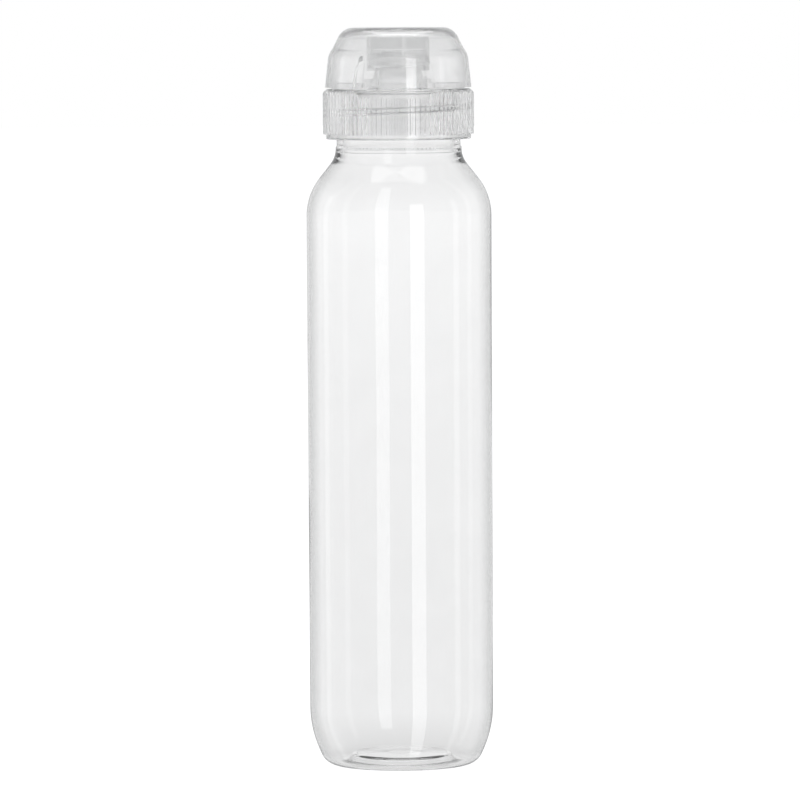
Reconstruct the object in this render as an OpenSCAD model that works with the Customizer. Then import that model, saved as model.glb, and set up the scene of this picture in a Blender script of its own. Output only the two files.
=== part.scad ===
// Clear squeeze bottle for sauce, with a screw closure and a hinged flip lid.
// Millimetres, +Z up, the origin at the middle of the ring that the bottle stands on.
// The thumb recess faces -Y and the hinge is at +Y.

/* [Bottle] */
// Outer radius of the body where it meets the shoulder
body_r = 25.9; // [25:0.1:27]
// Outer radius of the body just above the heel
foot_r = 25.7; // [25.4:0.1:27]
// Height at which the body's side meets the slope of the shoulder
shoulder_z = 159.85; // [120:0.5:200]
// Radius that blends the body into the shoulder
shoulder_round = 17; // [12:0.5:20]
// Radius that blends the body into the heel
heel_round = 30; // [26:0.5:32]
// Height of the middle of the pushed-up base
push_up = 2.4; // [2:0.1:3.5]
// Wall thickness of the blown body
body_wall = 0.5; // [0.4:0.05:0.8]

/* [Neck] */
// Outer radius of the neck's foot, just above the shoulder
neck_r = 17.6; // [17.55:0.01:17.65]
// Radius of the bore in the neck
bore_r = 15.85; // [15:0.05:16]
// Height of the neck above the corner where it leaves the shoulder
neck_height = 18.33; // [18:0.01:19]
// Rise of the thread in one turn
pitch = 4.23; // [4.2:0.01:4.3]
// Turns of thread on the neck
neck_turns = 1.5; // [1:0.1:1.7]
// Radius of the crest of the thread on the neck
thread_r = 18.7; // [18.5:0.05:18.8]

/* [Closure] */
// Radius of the skirt between its ribs
skirt_r = 20.65; // [20.6:0.05:20.8]
// Number of ribs round the skirt
ribs = 90; // [60:2:100]
// Height of a rib above the skirt
rib_height = 0.45; // [0.3:0.05:0.5]
// Height of the ribbed skirt
skirt_height = 14.05; // [13.8:0.05:14.2]
// Radius of the raised deck that the lid closes round
deck_r = 18.7; // [18.6:0.05:18.75]
// Radius of the hole at the tip of the spout
orifice_r = 3; // [2.6:0.1:3.2]
// Height of the spout above the deck
spout_height = 5.7; // [5:0.1:6.2]

/* [Lid] */
// Outer radius of the lid at its lower edge
lid_r = 20.45; // [20.4:0.05:20.5]
// Height of the lid from its lower edge to its flat top
lid_height = 16.6; // [16.3:0.1:16.9]
// Height of the drum of the lid, under the raised top
drum_height = 12.9; // [12.7:0.1:13.1]
// Lean of the drum's side from upright, in degrees
drum_lean = 6.2; // [5.5:0.1:6.5]
// Radius of the raised top across its virtual upper corner
plateau_r = 15.4; // [15:0.1:15.6]
// Distance of the raised top's front and back faces from the middle
plateau_y = 11.15; // [11:0.05:11.4]
// Wall thickness of the lid
lid_wall = 1.35; // [1.3:0.05:1.4]
// Radius of the floor of the thumb recess at the lid's lower edge
recess_r = 18.9; // [18.85:0.01:18.95]
// Outer radius of the sleeve under the lid that comes down round the spout
sleeve_r = 8.85; // [8.8:0.05:8.9]

/* [Hidden] */
$fn = 96;
round_step = 5;

// Base and heel of the bottle
heel_lean = 24;
ring_in_r = 17.4;
ring_out_r = 21.2;
ring_round = 5;
heel_z = (foot_r - ring_out_r) / tan(heel_lean);
gate_r = 4;
gate_step = 0.25;
plate_r = 12.9;
plate_z = push_up - 0.4;
plate_thick = 1.1;
plate_round = 1.2;
arch_r = 14.4;
arch_z = 0.3;
arch_wall = 0.75;
base_wall = 0.7;
soft_edge = 0.3;

// Shoulder and neck of the bottle
shoulder_lean = 38;
shoulder_wall = 0.75;
neck_round = 7;
neck_corner_z = shoulder_z + (body_r - neck_r) / tan(shoulder_lean);
rim_z = neck_corner_z + neck_height;
rim_round = 0.5;
finish_r = neck_r - 0.27;
foot_top = neck_corner_z + 2.9;
foot_round = 0.15;
bore_foot = neck_corner_z + 3.7;
bore_round = 8;

// Threads of the neck and of the closure, as half heights at root and crest
thread_z = rim_z - 10.3;
thread_sunk = 0.6;
neck_ridge = [1.35, 0.55];
cap_ridge = [1.2, 0.45];
cap_turns = 1.2;
cap_shift = 0.46;
cap_thread_play = 0.45;

// Heights and radii in the closure
seal_thick = 0.6;
seal_out_r = finish_r - 0.35;
seal_in_r = bore_r + 0.15;
seat_z = rim_z + seal_thick;
deck_z = rim_z + 2.5;
land_z = deck_z - 1.8;
skirt_z = land_z - skirt_height;
band_height = 1.4;
band_r = skirt_r - 0.35;
skirt_wall = 1.55;
skirt_in_r = skirt_r - skirt_wall;
skirt_round = 1.1;
mouth = 1;
seat_r = 17.5;
seat_chamfer = 0.4;
roof_z = land_z - 1.6;
collar_r = 9.6;
collar_height = 1;
spout_top = deck_z + spout_height;
spout_foot_r = 7.3;
spout_tip_r = orifice_r + 2.6;
spout_round = 1;
spout_wall = 1.3;
lip_height = 1.2;

// Ribs of the skirt, with widths as parts of their spacing
rib_foot = 0.34;
rib_crest = 0.16;
rib_sunk = 0.1;
rib_top = land_z - 0.5;
rib_slope = 0.75;

// Heights and radii in the lid
gap = 0.4;
deck_play = 0.3;
lid_z = land_z + gap;
lid_top = lid_z + lid_height;
drum_top = lid_z + drum_height;
drum_top_r = lid_r - drum_height * tan(drum_lean);
drum_round = 5.8;
plateau_round = 4.7;
plateau_sunk = 4;
flank = 0.5;
face_r = 40;
roof = 1.7;
sleeve_z = deck_z + 3.2;
sleeve_wall = 1.2;
lip_r = 6.85;
lip_thick = 0.8;

// Thumb recess
recess_lean = 3;
recess_wall = 1;
recess_side = lid_z + 7.4;
recess_top = lid_z + 9.2;
recess_low_half = 12.4;
recess_high_half = 10.8;
recess_round = 5;
crown_round = 30;
recess_angle = 29;
ramp_angle = 34.5;
ramp_in = 1.5;
ramp_out = 1.6;
floor_play = 0.15;

// Scoop in the closure's edge under the thumb recess
scoop_half = 11.8;
scoop_drop = 2.8;
scoop_edge = 0.8;
scoop_slope = 0.5;
scoop_round = 5;

// Film hinge and the leaves that it joins
hinge_y = 21.5;
hinge_z = land_z + gap / 2;
film_r = 0.4;
film_play = 0.05;
film_width = 14;
leaf_gap = 0.1;
leaf_sunk = 0.8;
base_leaf_drop = 4.2;
base_leaf_edge = 2.6;
lid_leaf_height = 2.6;
lid_leaf_edge = 1.1;

// Room that a cutting solid takes beyond what it cuts
beyond = 1;
far = 30;

// Unit vector, the turn at corner b, and the reach of a radius r along its sides
function unit(v) = v / norm(v);
function turn(a, b, c) = acos(unit(b - a) * unit(c - b));
function reach(a, b, c, r) = r * tan(turn(a, b, c) / 2);
function hand(a, b, c) = sign(cross(b - a, c - b));
function left(v) = [-v.y, v.x];

// Points of a round of radius r at corner b, one for each few degrees
function round_at(a, b, c, r) =
    let (u = unit(b - a), h = hand(a, b, c), start = b - u * reach(a, b, c, r),
         middle = start + h * r * left(u), sweep = turn(a, b, c),
         steps = max(2, ceil(sweep / round_step)))
    [for (i = [0:steps])
        let (t = h * sweep * i / steps, d = start - middle)
        middle + [d.x * cos(t) - d.y * sin(t), d.x * sin(t) + d.y * cos(t)]];

// An outline from corners [x, y] or [x, y, radius]
function place(p) = [p[0], p[1]];
function outline(p) =
    let (n = len(p))
    [for (i = [0:n - 1])
        let (a = place(p[(i + n - 1) % n]), b = place(p[i]), c = place(p[(i + 1) % n]))
        for (q = len(p[i]) > 2 ? round_at(a, b, c, p[i][2]) : [b]) q];

// Corner b moved inwards by the wall t, on an outline that runs anticlockwise
function inset(a, b, c, t) =
    let (n = left(unit(b - a)), m = left(unit(c - b)))
    b + t * (n + m) / (1 + n * m);

module turned(corners) {
    rotate_extrude() polygon(outline(corners));
}

// A ridge that climbs round Z, from radius root to radius crest, fading out at both ends
module helix_ridge(root, crest, z, turns, half) {
    steps = round(turns * 40);
    fade = 4;
    faint = 0.45;
    function size_at(i) = min(1, min(i, steps - i) / fade);
    function crest_at(i) = root + (crest - root) * (faint + (1 - faint) * size_at(i));
    function corner(i, r, dz) =
        let (t = 360 * turns * i / steps)
        [r * cos(t), r * sin(t), z + pitch * turns * i / steps + dz];
    points = [for (i = [0:steps])
        each [corner(i, root, -half[0]), corner(i, root, half[0]),
              corner(i, crest_at(i), half[1]), corner(i, crest_at(i), -half[1])]];
    last = 4 * steps;
    inward = crest < root;
    walls = [for (i = [0:steps - 1], k = [0:3])
        let (a = 4 * i + k, b = 4 * i + (k + 1) % 4)
        each (inward ? [[a, b, b + 4], [a, b + 4, a + 4]] : [[a, b + 4, b], [a, a + 4, b + 4]])];
    ends = inward
        ? [[0, 2, 1], [0, 3, 2], [last, last + 1, last + 2], [last, last + 2, last + 3]]
        : [[0, 1, 2], [0, 2, 3], [last, last + 2, last + 1], [last, last + 3, last + 2]];
    polyhedron(points = points, faces = concat(walls, ends));
}

// Blown bottle: pushed-up base, heel, straight side, sloping shoulder and threaded neck
module bottle() {
    ring_out = [ring_out_r, 0];
    heel = [foot_r, heel_z];
    shoulder = [body_r, shoulder_z];
    neck = [neck_r, neck_corner_z];
    in_ring_out = inset([ring_in_r, 0], ring_out, heel, base_wall);
    in_heel = inset(ring_out, heel, shoulder, body_wall);
    in_shoulder = inset(heel, shoulder, neck, body_wall);
    color("white", 0.35) {
        turned([
            [0, push_up], [gate_r, push_up, soft_edge],
            [gate_r + gate_step, push_up - gate_step, soft_edge],
            [plate_r, plate_z, plate_round], [arch_r, arch_z, 1], [ring_in_r, 0, 1],
            concat(ring_out, ring_round), concat(heel, heel_round),
            concat(shoulder, shoulder_round), concat(neck, neck_round),
            [neck_r, foot_top, foot_round], [finish_r, foot_top + foot_round],
            [finish_r, rim_z, rim_round], [bore_r, rim_z, soft_edge],
            [bore_r, bore_foot, bore_round],
            [neck_r - shoulder_wall, neck_corner_z - soft_edge, bore_round],
            concat(in_shoulder, shoulder_round - body_wall),
            concat(in_heel, heel_round - body_wall),
            concat(in_ring_out, ring_round - base_wall), [ring_in_r, base_wall, 1],
            [arch_r + arch_wall, arch_z + arch_wall, 1],
            [plate_r + base_wall, plate_z + plate_thick, plate_round],
            [0, plate_z + plate_thick + soft_edge / 2]]);
        helix_ridge(finish_r - thread_sunk, thread_r, thread_z, neck_turns, neck_ridge);
    }
}

// Soft washer between the neck's rim and the closure
module sealing_ring() {
    color("whitesmoke")
    difference() {
        translate([0, 0, rim_z]) cylinder(r = seal_out_r, h = seal_thick);
        translate([0, 0, rim_z - beyond]) cylinder(r = seal_in_r, h = seal_thick + 2 * beyond);
    }
}

// Plan of the thumb recess between its ramps, cut back by d from the floor that shows
module recess_plan(d) {
    low = recess_r * [sin(recess_angle), -cos(recess_angle)];
    high = lid_r * [sin(ramp_angle), -cos(ramp_angle)];
    along = unit(high - low);
    back = d * [0.35, 1];
    inner = low - along * ramp_in + back;
    outer = high + along * ramp_out + back;
    polygon([[-inner.x, inner.y], inner, outer, [outer.x, -far], [-outer.x, -far], [-outer.x, outer.y]]);
}

// Solid of the thumb recess from low upwards: an arched front down to a floor that leans back
module recess_block(d, low) {
    side = recess_side + d;
    top = recess_top + d;
    function floor_at(z) = recess_r - d - (z - lid_z) * tan(recess_lean);
    difference() {
        intersection() {
            translate([0, 0, low]) linear_extrude(top - low) recess_plan(d);
            rotate([90, 0, 0])
            linear_extrude(far)
            polygon(outline([
                [-recess_low_half - d, low], [recess_low_half + d, low],
                [recess_high_half + d, side, recess_round + d], [0, top, crown_round],
                [-recess_high_half - d, side, recess_round + d]]));
        }
        translate([0, 0, low - beyond])
        cylinder(r1 = floor_at(low - beyond), r2 = floor_at(top + beyond), h = top - low + 2 * beyond);
    }
}

// Scoop in the closure's edge under the lid's thumb recess
module scoop() {
    low = land_z - scoop_drop;
    slope_r = skirt_r + rib_height + scoop_edge;
    slope_z = low - scoop_slope;
    top = land_z + 2 * beyond;
    intersection() {
        rotate_extrude()
        polygon([[recess_r, top], [recess_r, land_z - scoop_edge], [slope_r, slope_z],
                 [slope_r + 2 * beyond, slope_z], [slope_r + 2 * beyond, top]]);
        rotate([90, 0, 0])
        linear_extrude(far)
        polygon(outline([[-scoop_half, low, scoop_round], [scoop_half, low, scoop_round],
                         [scoop_half, top], [-scoop_half, top]]));
    }
}

// Ribs of the skirt as one star, with its upper ends cut to a slope
module rib_star() {
    crest = skirt_r + rib_height;
    root = skirt_r - rib_sunk;
    part = 360 / ribs;
    low = skirt_z + band_height;
    function spot(r, t) = [r * cos(t), r * sin(t)];
    star = [for (i = [0:ribs - 1])
        each [spot(root, part * (i - rib_foot)), spot(crest, part * (i - rib_crest)),
              spot(crest, part * (i + rib_crest)), spot(root, part * (i + rib_foot))]];
    intersection() {
        translate([0, 0, low]) linear_extrude(rib_top - low) polygon(star);
        translate([0, 0, low])
        cylinder(r1 = root + (rib_top - low) * rib_slope, r2 = root, h = rib_top - low);
    }
}

// Leaf of the film hinge, a block across the back with its free edge near the film
module leaf(corners) {
    translate([-film_width / 2, 0, 0])
    rotate([90, 0, 90])
    linear_extrude(film_width)
    polygon(corners);
}

// Rod along the hinge's bending line
module hinge_rod(r, width) {
    translate([-width / 2, hinge_y, hinge_z]) rotate([0, 90, 0]) cylinder(r = r, h = width);
}

// Screw closure: ribbed skirt, inner thread, land, raised deck, collar and spout
module closure_base() {
    color("gainsboro", 0.8) {
        difference() {
            union() {
                turned([
                    [0, skirt_z], [band_r, skirt_z, soft_edge], [band_r, skirt_z + band_height],
                    [skirt_r, skirt_z + band_height], [skirt_r, land_z, skirt_round],
                    [deck_r, land_z], [deck_r, deck_z, soft_edge], [collar_r, deck_z],
                    [collar_r, deck_z + collar_height, soft_edge],
                    [spout_foot_r, deck_z + collar_height, soft_edge],
                    [spout_tip_r, spout_top, spout_round], [0, spout_top]]);
                rib_star();
                leaf([[skirt_r - leaf_sunk, land_z - base_leaf_drop],
                      [skirt_r, land_z - base_leaf_drop],
                      [hinge_y - leaf_gap, land_z - base_leaf_edge],
                      [hinge_y - leaf_gap, hinge_z - film_r / 2],
                      [skirt_r - leaf_sunk, land_z]]);
            }
            turned([
                [0, skirt_z - beyond], [skirt_in_r + mouth, skirt_z - beyond],
                [skirt_in_r, skirt_z + mouth / 2], [skirt_in_r, roof_z], [seat_r, roof_z],
                [seat_r, seat_z - seat_chamfer], [seat_r - seat_chamfer, seat_z],
                [spout_foot_r - spout_wall, seat_z],
                [spout_tip_r - spout_wall, spout_top - lip_height],
                [orifice_r, spout_top - lip_height], [orifice_r, spout_top + beyond],
                [0, spout_top + beyond]]);
            scoop();
            recess_block(recess_wall + deck_play, lid_z - floor_play);
            hinge_rod(film_r, film_width + beyond);
        }
        helix_ridge(skirt_in_r + thread_sunk, finish_r + cap_thread_play,
                    thread_z + pitch * cap_shift, cap_turns, cap_ridge);
    }
}

// Thin film that joins the two leaves and bends as the lid opens
module hinge_film() {
    color("gainsboro", 0.8) hinge_rod(film_r, film_width - gap);
}

// Raised top of the lid, smaller by the wall t all round and by top_t above
module plateau(t, top_t) {
    top = lid_top - top_t;
    foot = drum_top - plateau_sunk;
    move = t / cos(atan(flank)) - top_t * flank;
    function hat(r) =
        [[0, foot], [r + (top - foot) * flank, foot], [r, top, plateau_round - t], [0, top]];
    intersection() {
        turned(hat(plateau_r - move));
        for (way = [-1, 1])
            translate([0, way * (face_r - plateau_y), 0]) turned(hat(face_r - move));
    }
}

// Drum of the lid from low upwards, smaller by the wall t
module drum(t, low) {
    wall = t / cos(drum_lean);
    lean = tan(drum_lean);
    low_r = lid_r - wall + (lid_z - low) * lean;
    top_r = drum_top_r - wall + t * lean;
    turned([[0, low], [low_r, low], [top_r, drum_top - t, drum_round - t], [0, drum_top - t]]);
}

// Sleeve that hangs from the lid's roof, with a lip at its lower end
module sleeve() {
    in_r = sleeve_r - sleeve_wall;
    turned([
        [lip_r, sleeve_z], [sleeve_r, sleeve_z], [sleeve_r, lid_top], [in_r, lid_top],
        [in_r, sleeve_z + lip_thick + in_r - lip_r], [lip_r, sleeve_z + lip_thick]]);
}

// Hinged lid: drum, raised top, thumb recess and the sleeve inside
module flip_lid() {
    color("gainsboro", 0.6)
    difference() {
        union() {
            drum(0, lid_z);
            plateau(0, 0);
            leaf([[lid_r - leaf_sunk, lid_z], [hinge_y - leaf_gap, lid_z],
                  [hinge_y - leaf_gap, lid_z + lid_leaf_edge],
                  [lid_r - leaf_sunk / 2, lid_z + lid_leaf_height],
                  [lid_r - leaf_sunk, lid_z + lid_leaf_height]]);
        }
        recess_block(0, lid_z - beyond);
        hinge_rod(film_r + film_play, film_width + beyond);
        difference() {
            union() {
                drum(lid_wall, lid_z - beyond);
                plateau(lid_wall, roof);
            }
            recess_block(recess_wall, lid_z - 2 * beyond);
            sleeve();
        }
    }
}

bottle();
sealing_ring();
closure_base();
hinge_film();
flip_lid();
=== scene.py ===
"""Looks of a clear sauce bottle with a hinged flip lid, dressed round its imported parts."""

import math

import bmesh
import bpy
from mathutils import Matrix, Vector, noise

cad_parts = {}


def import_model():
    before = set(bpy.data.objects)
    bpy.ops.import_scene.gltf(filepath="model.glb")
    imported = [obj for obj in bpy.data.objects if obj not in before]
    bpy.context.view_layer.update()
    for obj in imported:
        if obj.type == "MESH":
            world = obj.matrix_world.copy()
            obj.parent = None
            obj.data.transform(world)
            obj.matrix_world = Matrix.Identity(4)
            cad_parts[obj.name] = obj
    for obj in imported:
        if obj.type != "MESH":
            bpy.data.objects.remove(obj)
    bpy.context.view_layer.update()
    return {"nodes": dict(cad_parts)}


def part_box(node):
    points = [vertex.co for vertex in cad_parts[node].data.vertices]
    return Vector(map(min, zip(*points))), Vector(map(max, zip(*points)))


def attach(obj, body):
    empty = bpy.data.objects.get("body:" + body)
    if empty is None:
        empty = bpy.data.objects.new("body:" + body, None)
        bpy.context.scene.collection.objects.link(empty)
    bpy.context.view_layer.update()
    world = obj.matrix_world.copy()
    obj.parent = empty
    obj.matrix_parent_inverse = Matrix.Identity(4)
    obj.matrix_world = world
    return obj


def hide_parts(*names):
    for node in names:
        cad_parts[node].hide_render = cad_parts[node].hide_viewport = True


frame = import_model()
NODES = frame["nodes"]
MM = 0.001
WHITE = (1, 1, 1, 1)

# The photograph's view: degrees to the right of the front, and a little roll
VIEW_AZIMUTH = 4
VIEW_DISTANCE = 1.876
EYE_HEIGHT = 0.221
AIM_HEIGHT = 0.1023
ROLL = math.radians(-0.32)
SENSOR = 36
SEEN_HEIGHT = 0.2241
NEAR_CLIP = 0.05
FAR_CLIP = 50

# The world: a white backdrop that dims between two sines of the angle to the horizon, and a greyer room
BACKDROP_SINES = (0.3, 0.7)
BACKDROP_STRENGTHS = (1.0, 0.7)
BACKDROP_IN_GLOSS = 0.25
ROOM_COLOUR = (0.97, 0.985, 1, 1)
ROOM_STRENGTH = 0.6

# The floor: how bright it shows through the plastic, by the distance from the middle in metres, with a
# painted shadow under the bottle and painted shade that fades away from it
FLOOR_RADIUS = 8
FLOOR_CORNERS = 96
FLOOR_DROP = 0.0002
FLOOR_GREY = (0.9, 0.9, 0.9, 1)
FAINT_GREY = (0.3, 0.3, 0.3, 1)
FLOOR_GLOW = 0.9
UNDER_DISTANCES = (0.01, 0.12)
SHADOW_UNDER_LEVELS = (0.85, 1.0)
AROUND_DISTANCES = (0.2, 4.0)
SHADE_AROUND_LEVELS = (0.91, 1.03)
ANY_BOUNCE = 0.5

# The lamps: azimuths in degrees to the right of the front, sizes in metres
STRIP_DISTANCE = 1.0
STRIP_LOW = -1.3
STRIP_HIGH = 0.62
FRONT_AZIMUTH = VIEW_AZIMUTH + 22.5
FRONT_WIDTH = 0.31
FRONT_RADIANCE = 1.1
SIDE_AZIMUTHS = (VIEW_AZIMUTH - 104, VIEW_AZIMUTH + 75)
SIDE_WIDTH = 0.15
SIDE_RADIANCE = 0.35
TOP_PLACE = (0, 0.2, 1.4)
TOP_SIZE = 1.2
TOP_RADIANCE = 0.9

# The plastics: a slow haze, walls that count as upright by their normal's Z, and the sleeve's radius;
# upright walls get a painted shade at their edges and within that radius
HAZE_SCALE = 90
HAZE_ENDS = (0.3, 0.7)
HAZE_LEVELS = (0.985, 1.0)
HAZE_ROUGHNESS = 0.1
UPRIGHT_ENDS = (0.6, 0.95)
SLEEVE_SHADE_ENDS = (9.0 * MM, 9.3 * MM)
COAT_ROUGHNESS = 0.02
LAMPLIGHT = (0.93, 0.93, 0.93, 1)

# The bottle's mesh, fine near the rim, where its thread is
SEGMENTS = 192
ROUND_STEP = math.radians(3)
FINE_BELOW_RIM = 14 * MM
FINE_ROW = 0.4 * MM
COARSE_ROW = 3 * MM

# Nearness in metres that counts as on the axis, and slack when radii are compared
ON_AXIS = 1e-7
SLACK = 1e-6

# The neck's thread, by drops below the rim
FINISH_R = 17.33 * MM
THREAD_R = 18.7 * MM
THREAD_PITCH = 4.23 * MM
THREAD_TURNS = 1.5
THREAD_DROP = 10.3 * MM
THREAD_ROOT_HALF = 1.35 * MM
THREAD_CREST_HALF = 0.55 * MM
THREAD_FADE = 0.1

# The waves of the blown wall, of another pattern inside than outside
WAVE = 0.05 * MM
WAVE_LENGTH = 14 * MM
WAVE_STRETCH = 2
WAVE_LOW = 6 * MM
WAVE_HIGH = 166 * MM
WAVE_FADE = 12 * MM
OUTSIDE_SEED = 0
INSIDE_SEED = 7

# Light passes many clear walls, so it gets many bounces
MOST_BOUNCES = 32
THROUGH_BOUNCES = 28
GLOSS_BOUNCES = 12


def camera():
    """Camera at the photograph's angle, far away with a long lens."""
    data = bpy.data.cameras.new("camera")
    cam = bpy.data.objects.new("camera", data)
    bpy.context.scene.collection.objects.link(cam)
    azimuth = math.radians(VIEW_AZIMUTH)
    place = Vector((
        VIEW_DISTANCE * math.sin(azimuth),
        -VIEW_DISTANCE * math.cos(azimuth),
        EYE_HEIGHT,
    ))
    aim = Vector((0, 0, AIM_HEIGHT))
    ahead = aim - place
    turn = ahead.to_track_quat("-Z", "Y").to_matrix().to_4x4()
    cam.matrix_world = Matrix.Translation(place) @ turn @ Matrix.Rotation(ROLL, 4, "Z")
    data.sensor_width = SENSOR
    data.lens = SENSOR * ahead.length / SEEN_HEIGHT
    data.clip_start = NEAR_CLIP
    data.clip_end = FAR_CLIP
    bpy.context.scene.camera = cam


class Tree:
    """Short hand for a node tree."""

    def __init__(self, tree):
        self.tree = tree
        tree.nodes.clear()

    def add(self, kind, inputs=None, **settings):
        """A node with its settings, whose inputs are linked to sockets or set to values."""
        node = self.tree.nodes.new(kind)
        for key, value in settings.items():
            setattr(node, key, value)
        for key, value in (inputs or {}).items():
            if isinstance(value, bpy.types.NodeSocket):
                self.tree.links.new(value, node.inputs[key])
            else:
                node.inputs[key].default_value = value
        return node

    def math(self, operation, a, b=0.0):
        """The result of a calculation."""
        return self.add("ShaderNodeMath", {0: a, 1: b}, operation=operation).outputs[0]

    def vector(self, operation, inputs):
        """The node of a calculation with vectors."""
        return self.add("ShaderNodeVectorMath", inputs, operation=operation)

    def remap(self, value, ends, results):
        """The value taken from one pair of ends to another, and held beyond them."""
        keys = {"Value": value, "From Min": ends[0], "From Max": ends[1],
                "To Min": results[0], "To Max": results[1]}
        return self.add("ShaderNodeMapRange", keys).outputs["Result"]

    def length(self, vector):
        """The length of a vector."""
        return self.vector("LENGTH", {0: vector}).outputs["Value"]

    def height(self, vector):
        """The Z of a vector."""
        return self.add("ShaderNodeSeparateXYZ", {0: vector}).outputs["Z"]

    def glow(self, kind, colour, strength):
        """A shader that gives light by itself, such as an emission or a background."""
        return self.add(kind, {"Color": colour, "Strength": strength}).outputs[0]

    def mix(self, factor, a, b):
        """Shader a where the factor is 0, and b where it is 1."""
        return self.add("ShaderNodeMixShader", {0: factor, 1: a, 2: b}).outputs[0]

    def surface(self, shader, kind="ShaderNodeOutputMaterial"):
        """The tree's output."""
        self.add(kind, {"Surface": shader})


def new_material(name):
    """An empty material and its node tree."""
    made = bpy.data.materials.new(name)
    made.use_nodes = True
    return made, Tree(made.node_tree)


def world():
    """White behind the object for what looks straight or through it, and a greyer studio for gloss."""
    made = bpy.data.worlds.new("studio")
    bpy.context.scene.world = made
    made.use_nodes = True
    t = Tree(made.node_tree)
    path = t.add("ShaderNodeLightPath").outputs
    direction = t.add("ShaderNodeTexCoord").outputs["Generated"]
    sine = t.math("ABSOLUTE", t.height(direction))
    backdrop = t.remap(sine, BACKDROP_SINES, BACKDROP_STRENGTHS)
    white = t.glow("ShaderNodeBackground", WHITE, 1.0)
    behind = t.glow("ShaderNodeBackground", WHITE, backdrop)
    room = t.glow("ShaderNodeBackground", ROOM_COLOUR, ROOM_STRENGTH)
    in_gloss = t.math("MULTIPLY", path["Is Glossy Ray"], BACKDROP_IN_GLOSS)
    through = t.math("MAXIMUM", path["Is Transmission Ray"], in_gloss)
    seen = t.mix(through, room, behind)
    t.surface(t.mix(path["Is Camera Ray"], seen, white), "ShaderNodeOutputWorld")


def floor_white():
    """Paper that shows white with a faint shadow, stays out of reflections, and has its own level where
    it is seen through the plastic: a painted shadow under the bottle and painted shade that fades away from
    it."""
    made, t = new_material("floor_white")
    path = t.add("ShaderNodeLightPath").outputs
    paper = t.add("ShaderNodeBsdfDiffuse", {"Color": FLOOR_GREY}).outputs[0]
    faint = t.add("ShaderNodeBsdfDiffuse", {"Color": FAINT_GREY}).outputs[0]
    glow = t.glow("ShaderNodeEmission", WHITE, FLOOR_GLOW)
    lit = t.add("ShaderNodeAddShader", {0: faint, 1: glow}).outputs[0]
    away = t.length(t.add("ShaderNodeTexCoord").outputs["Object"])
    # Painted shadow under the bottle, and painted shade that lightens with the distance, seen through the
    # plastic.
    under = t.remap(away, UNDER_DISTANCES, SHADOW_UNDER_LEVELS)
    shade_around = t.remap(away, AROUND_DISTANCES, SHADE_AROUND_LEVELS)
    through = t.glow("ShaderNodeEmission", WHITE, t.math("MULTIPLY", under, shade_around))
    seen = t.math("MAXIMUM", path["Is Camera Ray"], path["Is Glossy Ray"])
    shown = t.mix(seen, paper, lit)
    shown = t.mix(path["Is Transmission Ray"], shown, through)
    reflected = t.math("GREATER_THAN", path["Glossy Depth"], ANY_BOUNCE)
    gone = t.add("ShaderNodeBsdfTransparent").outputs[0]
    t.surface(t.mix(t.math("MULTIPLY", reflected, path["Is Transmission Ray"]), shown, gone))
    return made


def floor():
    """Wide disc of paper just under the bottle."""
    bpy.ops.mesh.primitive_circle_add(
        vertices=FLOOR_CORNERS, radius=FLOOR_RADIUS, fill_type="NGON", location=(0, 0, -FLOOR_DROP))
    disc = bpy.context.object
    disc.name = "floor"
    disc.data.materials.append(floor_white())
    disc.visible_glossy = False


def softbox(name, centre, aim, width, height, radiance):
    """Rectangular lamp whose face shows the given radiance."""
    data = bpy.data.lights.new(name, "AREA")
    data.shape = "RECTANGLE"
    data.size = width
    data.size_y = height
    data.energy = radiance * math.pi * width * height
    lamp = bpy.data.objects.new(name, data)
    bpy.context.scene.collection.objects.link(lamp)
    centre = Vector(centre)
    turn = (Vector(aim) - centre).to_track_quat("-Z", "Y").to_matrix().to_4x4()
    lamp.matrix_world = Matrix.Translation(centre) @ turn
    lamp.visible_camera = False


def strip(name, azimuth, width, radiance):
    """Upright strip lamp at an azimuth in degrees from the front, wide and bright as given."""
    turn = math.radians(azimuth)
    x, y = STRIP_DISTANCE * math.sin(turn), -STRIP_DISTANCE * math.cos(turn)
    middle = (STRIP_LOW + STRIP_HIGH) / 2
    softbox(name, (x, y, middle), (0, 0, middle), width, STRIP_HIGH - STRIP_LOW, radiance)


def lamps():
    """One strip near the camera, two at the sides and a soft lamp overhead."""
    strip("strip_front", FRONT_AZIMUTH, FRONT_WIDTH, FRONT_RADIANCE)
    for name, azimuth in zip(("strip_left", "strip_right"), SIDE_AZIMUTHS):
        strip(name, azimuth, SIDE_WIDTH, SIDE_RADIANCE)
    softbox("overhead", TOP_PLACE, (0, 0, 0), TOP_SIZE, TOP_SIZE, TOP_RADIANCE)


def uprightness(t):
    """1 on upright walls and 0 on flat ones; the painted edge and sleeve shades fall only where it is 1."""
    normal = t.add("ShaderNodeNewGeometry").outputs["Normal"]
    return t.remap(t.math("ABSOLUTE", t.height(normal)), UPRIGHT_ENDS, (1.0, 0.0))


def sleeve_shade_mask(t, place):
    """Mask of the painted sleeve shade: 1 within the sleeve's radius and 0 beyond it."""
    spread = t.vector("MULTIPLY", {0: place, 1: (1, 1, 0)}).outputs[0]
    return t.remap(t.length(spread), SLEEVE_SHADE_ENDS, (1.0, 0.0))


def tinted(t, level, share, tint):
    """The level times the tint where the share is 1, and as it is where the share is 0."""
    return t.math("MULTIPLY", level, t.remap(share, (0.0, 1.0), (1.0, tint)))


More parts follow.
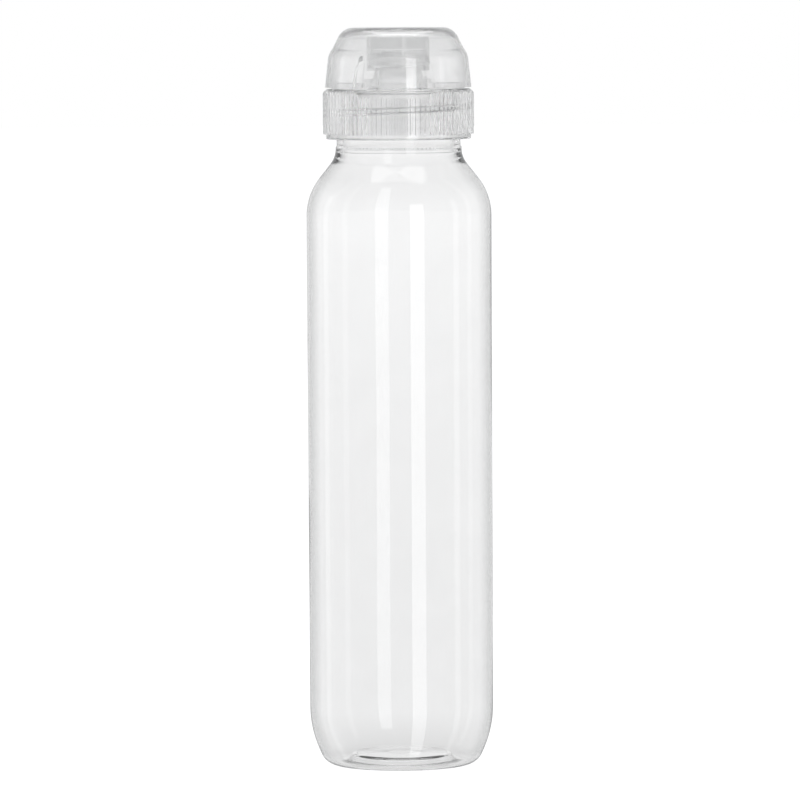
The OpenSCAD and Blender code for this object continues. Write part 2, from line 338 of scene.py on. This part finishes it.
def clear_plastic(name, tint, rim, ior, roughness, clear=1.0, coat=0.0, sleeve_shade=1.0):
    """Clear plastic that lets lamps through. The rim is a painted shade at the edges of upright walls: its
    tint, and the facings where it starts and is full. Coat is the coat's IOR over 1, and inner is the tint
    of a painted shade on upright walls near the axis, in the sleeve."""
    made, t = new_material(name)
    rim_shade_tint, *rim_shade_ends = rim
    place = t.add("ShaderNodeTexCoord").outputs["Object"]
    upright = uprightness(t)
    facing = t.add("ShaderNodeLayerWeight").outputs["Facing"]
    # Painted shade: upright walls darken towards their grazing edges, by the facing.
    edge_shade = t.math("MULTIPLY", t.remap(facing, rim_shade_ends, (0.0, 1.0)), upright)
    haze = t.add("ShaderNodeTexNoise", {"Vector": place, "Scale": HAZE_SCALE}).outputs[0]
    level = t.remap(haze, HAZE_ENDS, HAZE_LEVELS)
    level = tinted(t, level, edge_shade, rim_shade_tint)
    # Painted shade: upright walls near the axis, in the sleeve, are darker.
    level = tinted(t, level, t.math("MULTIPLY", sleeve_shade_mask(t, place), upright), sleeve_shade)
    uneven = (roughness * (1 - HAZE_ROUGHNESS), roughness * (1 + HAZE_ROUGHNESS))
    body = t.add("ShaderNodeBsdfPrincipled", {
        "Base Color": t.vector("SCALE", {0: tint, "Scale": level}).outputs[0],
        "Roughness": t.remap(haze, HAZE_ENDS, uneven) if roughness else 0.0,
        "IOR": ior,
        "Transmission Weight": clear,
        "Coat Weight": 1.0 if coat else 0.0,
        "Coat Roughness": COAT_ROUGHNESS,
        "Coat IOR": 1 + coat,
    }).outputs[0]
    open_to_lamps = t.add("ShaderNodeBsdfTransparent", {"Color": LAMPLIGHT}).outputs[0]
    shadow = t.add("ShaderNodeLightPath").outputs["Is Shadow Ray"]
    t.surface(t.mix(shadow, body, open_to_lamps))
    return made


def clear_pet():
    """The bottle's plastic, clear as glass, with painted shade darkening its edges."""
    return clear_plastic("clear_pet", (0.965, 0.966, 0.967), rim=(0.5, 0.5, 0.92), ior=1.57,
                         roughness=0.0)


def clear_pp():
    """The lid's plastic, a little misty under a glossy face, with painted shade on its edges and on the
    sleeve.
    """
    return clear_plastic("clear_pp", (0.975, 0.976, 0.977), rim=(0.62, 0.5, 0.65), ior=1.49,
                         roughness=0.1, clear=0.94, coat=0.9, sleeve_shade=0.82)


def natural_pp():
    """The plastic of the closure and the film, mistier than the lid's, with painted shade on its edges."""
    return clear_plastic("natural_pp", (0.985, 0.986, 0.987), rim=(0.66, 0.5, 0.65), ior=1.49,
                         roughness=0.18, clear=0.95, coat=0.7)


def soft_seal():
    """The seal's soft plastic, with painted shade on its edges."""
    return clear_plastic("soft_seal", (0.9, 0.9, 0.9), rim=(0.7, 0.7, 1.0), ior=1.45, roughness=0.4)


def corner_round(a, b, c, radius):
    """Points of an arc that rounds corner b between a and c."""
    into, out = (b - a).normalized(), (c - b).normalized()
    sweep = math.acos(max(-1, min(1, into.dot(out))))
    hand = math.copysign(1, into.x * out.y - into.y * out.x)
    start = b - into * radius * math.tan(sweep / 2)
    middle = start + Vector((-into.y, into.x)) * hand * radius
    count = max(2, math.ceil(sweep / ROUND_STEP))
    spoke = start - middle
    points = []
    for i in range(count + 1):
        turn = hand * sweep * i / count
        points.append(middle + Matrix.Rotation(turn, 2) @ spoke)
    return points


def rounded(corners):
    """Outline through corners (x, y) or (x, y, radius), in metres."""
    places = [Vector(c[:2]) for c in corners]
    count = len(corners)
    points = []
    for i, corner in enumerate(corners):
        a, b, c = places[i - 1], places[i], places[(i + 1) % count]
        points += corner_round(a, b, c, corner[2]) if len(corner) > 2 else [b]
    return points


def inset(a, b, c, wall):
    """Corner b moved inwards by the wall, on an outline that runs anticlockwise."""
    into, out = (b - a).normalized(), (c - b).normalized()
    n, m = Vector((-into.y, into.x)), Vector((-out.y, out.x))
    return b + wall * (n + m) / (1 + n.dot(m))


def split(outline, fine_above, fine, coarse):
    """Outline with extra points, so that no stretch is over fine or coarse, by its height."""
    rows = []
    for point, after in zip(outline, outline[1:] + [None]):
        rows.append(point)
        if after is not None:
            longest = fine if min(point.y, after.y) > fine_above else coarse
            parts = math.ceil((after - point).length / longest)
            rows += [point.lerp(after, k / parts) for k in range(1, parts)]
    return rows


def spun(name, rows, segments, radius_at):
    """Closed mesh of rows of (radius, height) turned round Z, with radius_at giving each point's radius."""
    mesh = bmesh.new()
    rings = []
    for i, row in enumerate(rows):
        if row.x < ON_AXIS:
            rings.append([mesh.verts.new((0, 0, row.y))])
            continue
        ring = []
        for angle in (2 * math.pi * k / segments for k in range(segments)):
            radius = radius_at(i, row, angle)
            ring.append(mesh.verts.new((radius * math.cos(angle), radius * math.sin(angle), row.y)))
        rings.append(ring)
    for low, high in zip(rings, rings[1:]):
        for k in range(segments):
            j = (k + 1) % segments
            face = [low[k % len(low)], low[j % len(low)], high[j % len(high)], high[k % len(high)]]
            mesh.faces.new(list(dict.fromkeys(face)))
    bmesh.ops.recalc_face_normals(mesh, faces=mesh.faces)
    data = bpy.data.meshes.new(name)
    mesh.to_mesh(data)
    mesh.free()
    made = bpy.data.objects.new(name, data)
    bpy.context.scene.collection.objects.link(made)
    data.shade_smooth()
    return made


def bottle_outline(top):
    """Outline of the blown bottle, up its outside and down its inside."""
    body_r, foot_r, neck_r, bore_r = 25.9 * MM, 25.7 * MM, 17.6 * MM, 15.85 * MM
    body_wall, base_wall, shoulder_wall = 0.5 * MM, 0.7 * MM, 0.75 * MM
    heel_lean, heel_round = math.radians(24), 30 * MM
    shoulder_z, shoulder_lean, shoulder_round = 159.85 * MM, math.radians(38), 17 * MM
    ring_round, base_round, plate_round = 5 * MM, MM, 1.2 * MM
    neck_round, bore_round, rim_round, foot_round = 7 * MM, 8 * MM, 0.5 * MM, 0.15 * MM
    soft_edge = 0.3 * MM
    gate_r, gate_step, push_up = 4 * MM, 0.25 * MM, 2.4 * MM
    plate_r, plate_z, plate_thick = 12.9 * MM, 2 * MM, 1.1 * MM
    arch_r, arch_z, arch_wall = 14.4 * MM, 0.3 * MM, 0.75 * MM
    ring_in, ring_out = Vector((17.4 * MM, 0)), Vector((21.2 * MM, 0))
    heel = Vector((foot_r, (foot_r - ring_out.x) / math.tan(heel_lean)))
    shoulder = Vector((body_r, shoulder_z))
    neck = Vector((neck_r, shoulder_z + (body_r - neck_r) / math.tan(shoulder_lean)))
    foot_top = neck.y + 2.9 * MM
    bore_foot = neck.y + 3.7 * MM
    outside = [
        (0, push_up), (gate_r, push_up, soft_edge), (gate_r + gate_step, push_up - gate_step, soft_edge),
        (plate_r, plate_z, plate_round), (arch_r, arch_z, base_round), (*ring_in, base_round),
        (*ring_out, ring_round), (*heel, heel_round), (*shoulder, shoulder_round), (*neck, neck_round),
        (neck_r, foot_top, foot_round), (FINISH_R, foot_top + foot_round), (FINISH_R, top, rim_round),
    ]
    inside = [
        (bore_r, top, soft_edge), (bore_r, bore_foot, bore_round),
        (neck_r - shoulder_wall, neck.y - soft_edge, bore_round),
        (*inset(heel, shoulder, neck, body_wall), shoulder_round - body_wall),
        (*inset(ring_out, heel, shoulder, body_wall), heel_round - body_wall),
        (*inset(ring_in, ring_out, heel, base_wall), ring_round - base_wall),
        (ring_in.x, base_wall, base_round), (arch_r + arch_wall, arch_z + arch_wall, base_round),
        (plate_r + base_wall, plate_z + plate_thick, plate_round),
        (0, plate_z + plate_thick + soft_edge / 2),
    ]
    return rounded(outside + inside)


def thread_height(angle, drop):
    """Height of the neck's thread above the neck, at an angle and a drop below the rim."""
    height = 0
    for turn in range(math.ceil(THREAD_TURNS)):
        along = angle / (2 * math.pi) + turn
        if along < THREAD_TURNS:
            away = abs(THREAD_DROP - THREAD_PITCH * along - drop)
            level = (THREAD_ROOT_HALF - away) / (THREAD_ROOT_HALF - THREAD_CREST_HALF)
            fade = min(1, along / THREAD_FADE, (THREAD_TURNS - along) / THREAD_FADE)
            height = max(height, (THREAD_R - FINISH_R) * fade * min(1, level))
    return height


def wave(radius, angle, height, seed):
    """Slow unevenness of a blown wall, always inwards, none at the base and the neck."""
    calm = min(1, max(0, (height - WAVE_LOW) / WAVE_FADE), max(0, (WAVE_HIGH - height) / WAVE_FADE))
    place = Vector((radius * math.cos(angle), radius * math.sin(angle), height / WAVE_STRETCH))
    return WAVE * calm * (noise.noise(place / WAVE_LENGTH + Vector((seed, 0, 0))) - 1) / 2


def bottle():
    """Blown bottle as one smooth shell, with its thread and the slow waves of a blown wall."""
    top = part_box("bottle")[1].z
    rows = split(bottle_outline(top), top - FINE_BELOW_RIM, FINE_ROW, COARSE_ROW)
    peak = max(range(len(rows)), key=lambda i: rows[i].y)

    def radius_at(i, row, angle):
        outside = i <= peak
        lift = thread_height(angle, top - row.y) if outside and row.x > FINISH_R - SLACK else 0
        return row.x + lift + wave(row.x, angle, row.y, OUTSIDE_SEED if outside else INSIDE_SEED)

    made = spun("bottle_shell", rows, SEGMENTS, radius_at)
    made.data.materials.append(clear_pet())
    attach(made, "bottle")
    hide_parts("bottle")


def dress(node, made):
    """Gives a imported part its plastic."""
    slots = NODES[node].data.materials
    slots.clear()
    slots.append(made)


def cap():
    """Packed closure, film, seal and lid, each with its plastic."""
    closure_plastic = natural_pp()
    dress("flip_lid", clear_pp())
    dress("closure_base", closure_plastic)
    dress("hinge_film", closure_plastic)
    dress("sealing_ring", soft_seal())


def settings():
    """Plain view, and enough bounces for the clear walls."""
    scene = bpy.context.scene
    scene.view_settings.view_transform = "Standard"
    scene.cycles.max_bounces = MOST_BOUNCES
    scene.cycles.transmission_bounces = THROUGH_BOUNCES
    scene.cycles.glossy_bounces = GLOSS_BOUNCES
    scene.cycles.transparent_max_bounces = MOST_BOUNCES


camera()
world()
floor()
lamps()
bottle()
cap()
settings()
